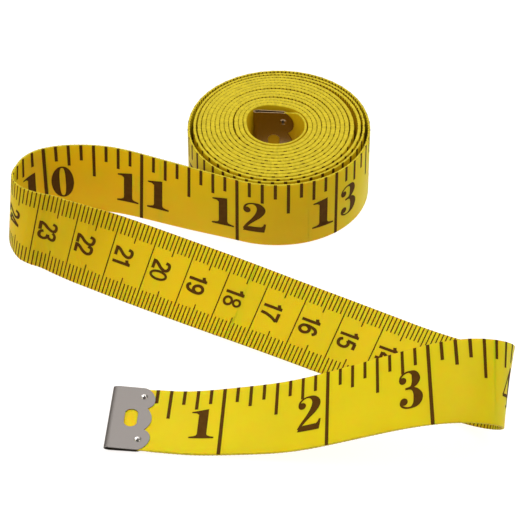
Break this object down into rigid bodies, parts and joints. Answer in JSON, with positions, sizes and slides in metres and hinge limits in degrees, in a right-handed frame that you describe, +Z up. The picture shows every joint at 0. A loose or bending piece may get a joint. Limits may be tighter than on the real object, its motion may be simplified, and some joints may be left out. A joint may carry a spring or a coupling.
{
  "type": "cloth tape measure",
  "caption": "Flexible cloth tape measure with inch and centimetre faces and folded metal end tips, wound in a coil on its edge with the free end laid out in two loose loops.",
  "frame": {"origin": "under the middle of the whole tape's box, on the surface that it lies on", "axes": "+Z up along the coil's axis; +X to the right and +Y away from the viewer in the picture"},
  "size_m": [0.1196, 0.123, 0.0262],
  "materials": {
    "tape": "smooth yellow coating on woven cloth, with dark brown print",
    "tip": "satin nickel plating"
  },
  "bodies": {
    "coil": {"tape_coil": "tape"},
    "peel_1": {"tape_peel_1": "tape"},
    "peel_2": {"tape_peel_2": "tape"},
    "peel_3": {"tape_peel_3": "tape"},
    "back_run": {"tape_back_run": "tape"},
    "left_bend_1": {"tape_left_bend_1": "tape"},
    "left_bend_2": {"tape_left_bend_2": "tape"},
    "middle_run": {"tape_middle_run": "tape"},
    "right_bend_1": {"tape_right_bend_1": "tape"},
    "right_bend_2": {"tape_right_bend_2": "tape"},
    "front_run": {"tape_front_run": "tape"},
    "outer_end": {"tape_outer_end": "tape", "outer_tip": "tip"},
    "core_end": {"tape_inner_end": "tape", "inner_tip": "tip"}
  },
  "joints": [
    {"name": "unroll_1", "type": "hinge", "parent": "coil", "child": "peel_1", "pos_m": [0.0286, 0.04091, 0.01006], "axis": [0, 0, 1], "range_deg": [0, 30]},
    {"name": "unroll_2", "type": "hinge", "parent": "peel_1", "child": "peel_2", "pos_m": [0.02654, 0.02922, 0.01006], "axis": [0, 0, 1], "range_deg": [0, 30]},
    {"name": "unroll_3", "type": "hinge", "parent": "peel_2", "child": "peel_3", "pos_m": [0.0188, 0.02031, 0.01005], "axis": [0, 0, 1], "range_deg": [0, 30]},
    {"name": "unroll_4", "type": "hinge", "parent": "peel_3", "child": "back_run", "pos_m": [0.00773, 0.01655, 0.01005], "axis": [0, 0, 1], "range_deg": [0, 30]},
    {"name": "left_loop_1", "type": "hinge", "parent": "back_run", "child": "left_bend_1", "pos_m": [-0.04629, 0.03169, 0.01003], "axis": [0, 0, -1], "range_deg": [0, 25]},
    {"name": "left_loop_2", "type": "hinge", "parent": "left_bend_1", "child": "left_bend_2", "pos_m": [-0.05636, 0.02776, 0.01003], "axis": [0, 0, -1], "range_deg": [0, 35]},
    {"name": "left_loop_3", "type": "hinge", "parent": "left_bend_2", "child": "middle_run", "pos_m": [-0.05886, 0.01776, 0.01003], "axis": [0, 0, -1], "range_deg": [0, 40]},
    {"name": "right_loop_1", "type": "hinge", "parent": "middle_run", "child": "right_bend_1", "pos_m": [0.05539, -0.04104, 0.00764], "axis": [0.3162, 0.7653, 0.5607], "range_deg": [0, 20]},
    {"name": "right_loop_2", "type": "hinge", "parent": "right_bend_1", "child": "right_bend_2", "pos_m": [0.05714, -0.04802, 0.01539], "axis": [0.084, 0.7761, 0.6249], "range_deg": [0, 20]},
    {"name": "right_loop_3", "type": "hinge", "parent": "right_bend_2", "child": "front_run", "pos_m": [0.0493, -0.0522, 0.02104], "axis": [-0.0463, 0.8607, 0.507], "range_deg": [0, 20]},
    {"name": "tip_lift", "type": "hinge", "parent": "front_run", "child": "outer_end", "pos_m": [-0.02196, -0.04518, 0.00103], "axis": [0.0816, 0.9966, 0.0055], "range_deg": [0, 50], "stiffness_Nm_per_rad": 0.002},
    {"name": "core_flex", "type": "hinge", "parent": "coil", "child": "core_end", "pos_m": [0.0114, 0.04315, 0.01055], "axis": [0, 0, 1], "range_deg": [0, 30], "stiffness_Nm_per_rad": 0.002}
  ],
  "couplings": [
    {"joint": "unroll_2", "follows": "unroll_1", "ratio": 1},
    {"joint": "unroll_3", "follows": "unroll_1", "ratio": 1},
    {"joint": "unroll_4", "follows": "unroll_1", "ratio": 1},
    {"joint": "left_loop_2", "follows": "left_loop_1", "ratio": 1.4},
    {"joint": "left_loop_3", "follows": "left_loop_1", "ratio": 1.6},
    {"joint": "right_loop_2", "follows": "right_loop_1", "ratio": 1},
    {"joint": "right_loop_3", "follows": "right_loop_1", "ratio": 1}
  ]
}
